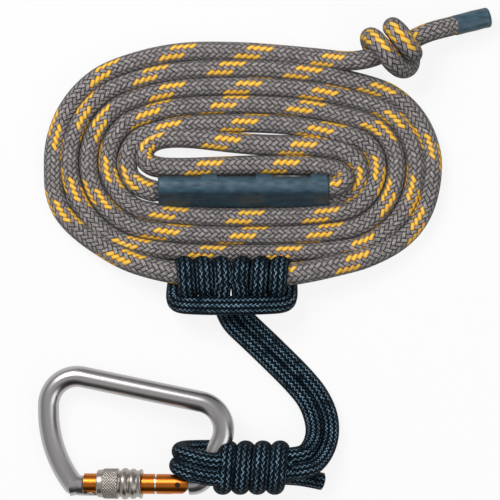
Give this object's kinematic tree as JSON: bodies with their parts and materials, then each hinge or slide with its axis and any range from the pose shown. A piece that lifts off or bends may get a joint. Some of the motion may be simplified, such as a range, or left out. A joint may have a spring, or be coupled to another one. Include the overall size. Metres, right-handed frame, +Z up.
{
  "type": "rope tether with friction hitch and locking connector",
  "caption": "Flat-coiled braided rope tether with sewn eye, stopper knot, sliding cord hitch and a screw-sleeve connector noosed to the hitch.",
  "frame": {"origin": "on the ground under the middle of the connector (frame, gate and sleeve)", "axes": "+Z up from the ground the tether lies on, +X to the right along the gate towards the noosed end, +Y towards the coil"},
  "size_m": [0.2578, 0.2791, 0.0327],
  "materials": {
    "rope": "grey braided sheath with orange flecks",
    "cord": "dark navy braided sheath",
    "thread": "matte thread",
    "heat_shrink": "satin",
    "frame_metal": "polished, grey-brown anodised",
    "gate_metal": "orange anodised, glossy",
    "sleeve_metal": "satin, fluted grip",
    "ring_metal": "bare bright",
    "steel": "bright",
    "friction_ring": "matte"
  },
  "bodies": {
    "tether": {"rope_coil": "rope", "eye_loop": "rope", "sewn_strand_lower": "rope", "sewn_strand_upper": "rope", "stopper_core": "rope", "stopper_turns": "rope", "rope_tail": "rope", "eye_stitching": "thread", "eye_sleeve": "heat_shrink", "tip_sleeve": "heat_shrink"},
    "hitch": {"hitch_turns_left": "cord", "hitch_turns_right": "cord", "hitch_bridge": "cord", "leg_left": "cord", "leg_right": "cord", "knot_core": "cord", "barrel_turns": "cord", "cord_tail": "cord", "noose_lower": "cord", "noose_upper": "cord", "connector_frame": "frame_metal", "hinge_pin": "steel"},
    "gate": {"gate": "gate_metal", "gate_spring": "steel", "stop_ring": "ring_metal"},
    "plunger": {"gate_plunger": "steel"},
    "sleeve_carrier": {"friction_ring": "friction_ring"},
    "sleeve": {"lock_sleeve": "sleeve_metal"}
  },
  "joints": [
    {"name": "hitch_slide", "type": "slide", "parent": "tether", "child": "hitch", "axis": [1, 0, 0], "range_m": [-0.006, 0.006]},
    {"name": "gate_hinge", "type": "hinge", "parent": "hitch", "child": "gate", "pos_m": [0.02406, -0.0284, 0.01411], "axis": [0.1071, 0, -0.9942], "range_deg": [0, 24], "stiffness_Nm_per_rad": 0.25, "springref_deg": -28.65},
    {"name": "plunger_slide", "type": "slide", "parent": "gate", "child": "plunger", "axis": [-0.9942, 0, -0.1071], "range_m": [0, 0.0013], "deforming": ["gate_spring"]},
    {"name": "sleeve_travel", "type": "slide", "parent": "gate", "child": "sleeve_carrier", "axis": [-0.9942, 0, -0.1071], "range_m": [-0.0068, 0.0114]},
    {"name": "sleeve_turn", "type": "hinge", "parent": "sleeve_carrier", "child": "sleeve", "pos_m": [0, -0.0284, 0.01152], "axis": [-0.9942, 0, -0.1071], "range_deg": [-491.6, 822.8]}
  ],
  "couplings": [
    {"joint": "plunger_slide", "follows": "gate_hinge", "m_per_rad": 0.003},
    {"joint": "sleeve_turn", "follows": "sleeve_travel", "rad_per_m": 1256.6}
  ]
}
